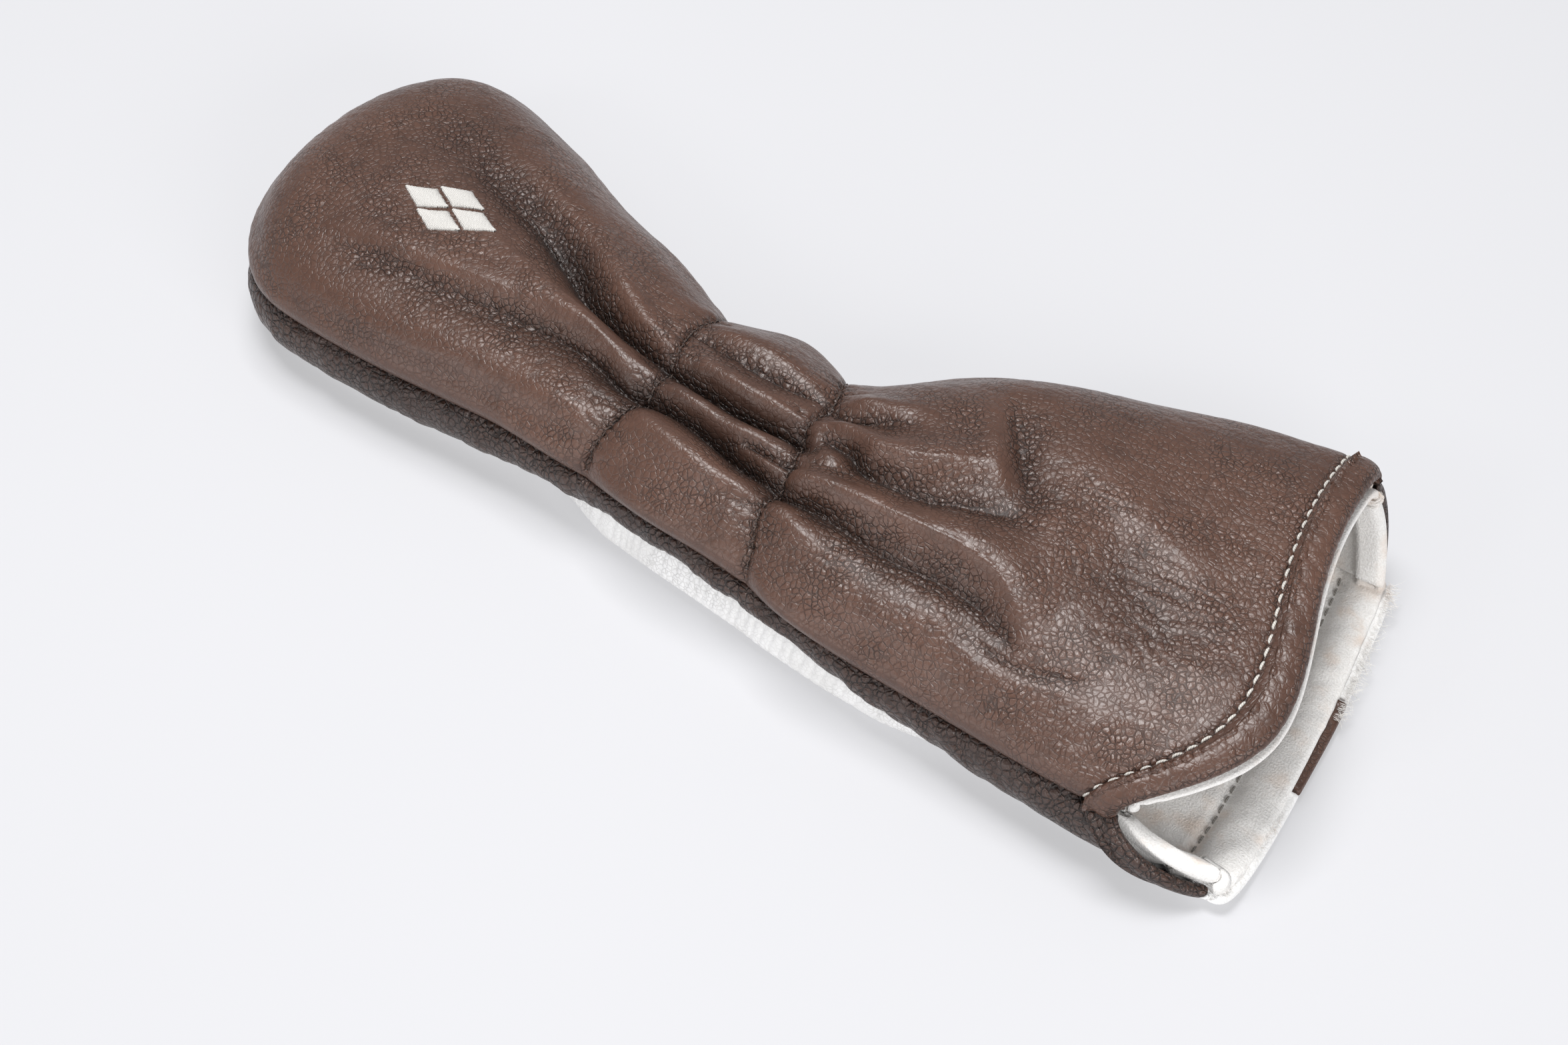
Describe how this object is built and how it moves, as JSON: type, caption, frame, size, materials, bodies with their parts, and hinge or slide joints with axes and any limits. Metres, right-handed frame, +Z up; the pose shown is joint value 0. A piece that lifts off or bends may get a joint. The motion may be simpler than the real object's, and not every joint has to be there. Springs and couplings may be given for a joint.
{
  "type": "driver head cover",
  "caption": "Soft leather golf driver head cover lying flat: domed head pocket, neck gathered by two elastics, and a flared skirt with a topstitched open mouth.",
  "frame": {"origin": "under the middle of the whole cover's box, on the surface it lies on", "axes": "+X from the closed head end to the open mouth, +Y to the side where the neck bends in, +Z up through the top panel"},
  "size_m": [0.3428, 0.1298, 0.0491],
  "materials": {
    "brown_leather": "full-grain leather with a pebbled grain, soft satin sheen",
    "white_leather": "pebbled leather, satin",
    "lining": "napped tricot knit, matt",
    "foam": "open-cell foam pad, matt",
    "elastic": "flat woven elastic",
    "brown_thread": "twisted polyester sewing thread",
    "white_thread": "twisted polyester sewing thread",
    "embroidery_thread": "satin-stitched rayon thread, soft sheen",
    "backing": "non-woven embroidery backing"
  },
  "bodies": {
    "root": {"top_panel": "brown_leather", "side_gusset": "brown_leather", "underside_panel_near": "white_leather", "underside_stripe": "brown_leather", "underside_panel_far": "white_leather", "lining_top": "lining", "lining_gusset": "lining", "lining_underside": "lining", "padding_top": "foam", "padding_underside": "foam", "elastic_band_head": "elastic", "elastic_band_mouth": "elastic", "gather_stitch_head": "brown_thread", "gather_stitch_mouth": "brown_thread", "hem_topstitch": "white_thread", "seam_thread_top": "brown_thread", "seam_thread_underside": "brown_thread", "stripe_thread_near": "brown_thread", "stripe_thread_far": "brown_thread", "embroidery_backing": "backing", "embroidered_lozenge_head": "embroidery_thread", "embroidered_lozenge_mouth": "embroidery_thread", "embroidered_lozenge_near": "embroidery_thread", "embroidered_lozenge_far": "embroidery_thread"}
  },
  "joints": []
}
